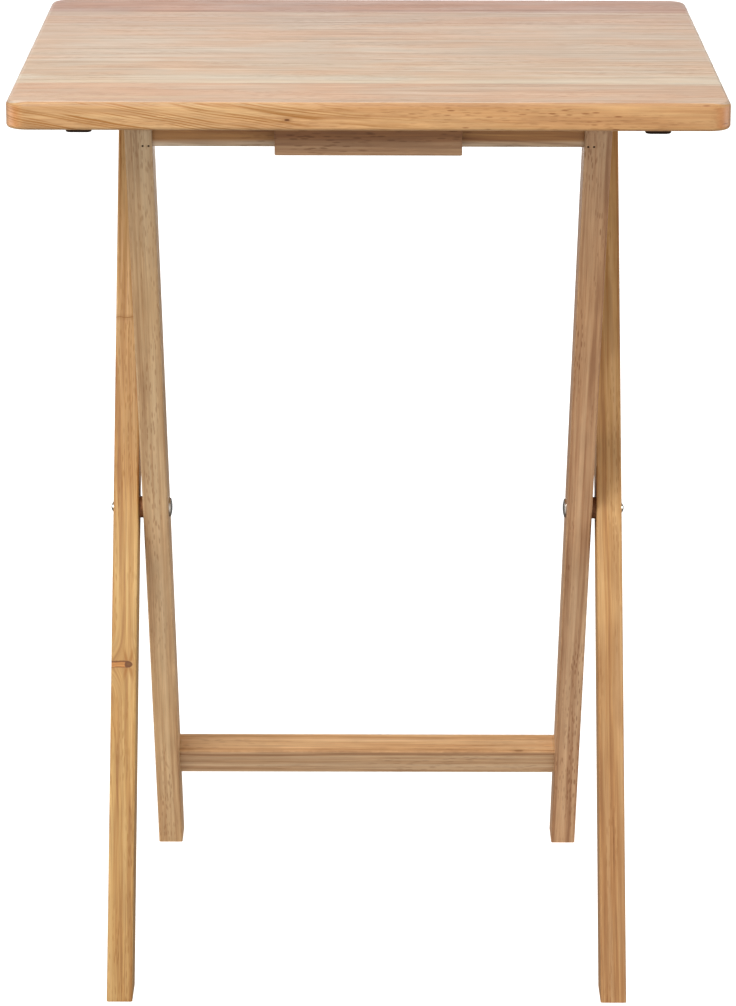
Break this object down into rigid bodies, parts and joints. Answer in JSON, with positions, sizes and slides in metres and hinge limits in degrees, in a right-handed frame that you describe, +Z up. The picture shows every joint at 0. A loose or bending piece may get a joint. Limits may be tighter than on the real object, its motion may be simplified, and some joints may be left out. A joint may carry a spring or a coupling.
{
  "type": "folding tray table",
  "caption": "Folding tray table: a glued-up hardwood top hinged on crossed leg frames that close like scissors, with a rail, a catch block and a lower stretcher.",
  "frame": {"origin": "on the floor under the middle of the top", "axes": "+X to the right along the top's long side, +Y to the rear where the hinge is, +Z up"},
  "size_m": [0.483, 0.43, 0.66],
  "materials": {
    "top_wood": "clear satin lacquer on rubberwood staves",
    "outer_leg_wood": "clear satin lacquer, yellow hardwood",
    "inner_leg_wood": "clear satin lacquer, greyer hardwood",
    "rail_wood": "clear satin lacquer",
    "block_wood": "clear satin lacquer, pinkish brown",
    "dowel_wood": "bare beech",
    "plated_steel": "bright nickel plate",
    "dark_steel": "dark oxide",
    "spacer_fibre": "dark brown fibre",
    "bumper_rubber": "dark brown matt rubber"
  },
  "bodies": {
    "outer_frame": {"outer_leg_left": "outer_leg_wood", "outer_leg_right": "outer_leg_wood", "pivot_rivet_left": "plated_steel", "pivot_rivet_right": "plated_steel", "pivot_cap_left": "plated_steel", "pivot_cap_right": "plated_steel", "pivot_spacer_left": "spacer_fibre", "pivot_spacer_right": "spacer_fibre", "hinge_pin_left": "plated_steel", "hinge_pin_right": "plated_steel", "hinge_washer_left": "plated_steel", "hinge_washer_right": "plated_steel"},
    "inner_frame": {"inner_leg_left": "inner_leg_wood", "inner_leg_right": "inner_leg_wood", "inner_top_rail": "rail_wood", "lower_stretcher": "rail_wood", "rail_brads": "dark_steel", "rail_dowels": "dowel_wood", "stretcher_dowels": "dowel_wood"},
    "tabletop": {"top_stave_1": "top_wood", "top_stave_2": "top_wood", "top_stave_3": "top_wood", "top_stave_4": "top_wood", "top_stave_5": "top_wood", "top_stave_6": "top_wood", "top_stave_7": "top_wood", "top_stave_8": "top_wood", "catch_block": "block_wood", "hinge_cleat_left": "block_wood", "hinge_cleat_right": "block_wood", "bumper_left": "bumper_rubber", "bumper_right": "bumper_rubber", "cleat_screws": "plated_steel", "catch_block_screws": "plated_steel"}
  },
  "joints": [
    {"name": "tray_lift", "type": "hinge", "parent": "outer_frame", "child": "tabletop", "pos_m": [0, 0.15178, 0.621], "axis": [-1, 0, 0], "range_deg": [0, 114]},
    {"name": "leg_fold", "type": "hinge", "parent": "outer_frame", "child": "inner_frame", "pos_m": [0, 0, 0.3183], "axis": [-1, 0, 0], "range_deg": [0, 52]}
  ],
  "couplings": [
    {"joint": "leg_fold", "follows": "tray_lift", "ratio": 0.456}
  ]
}
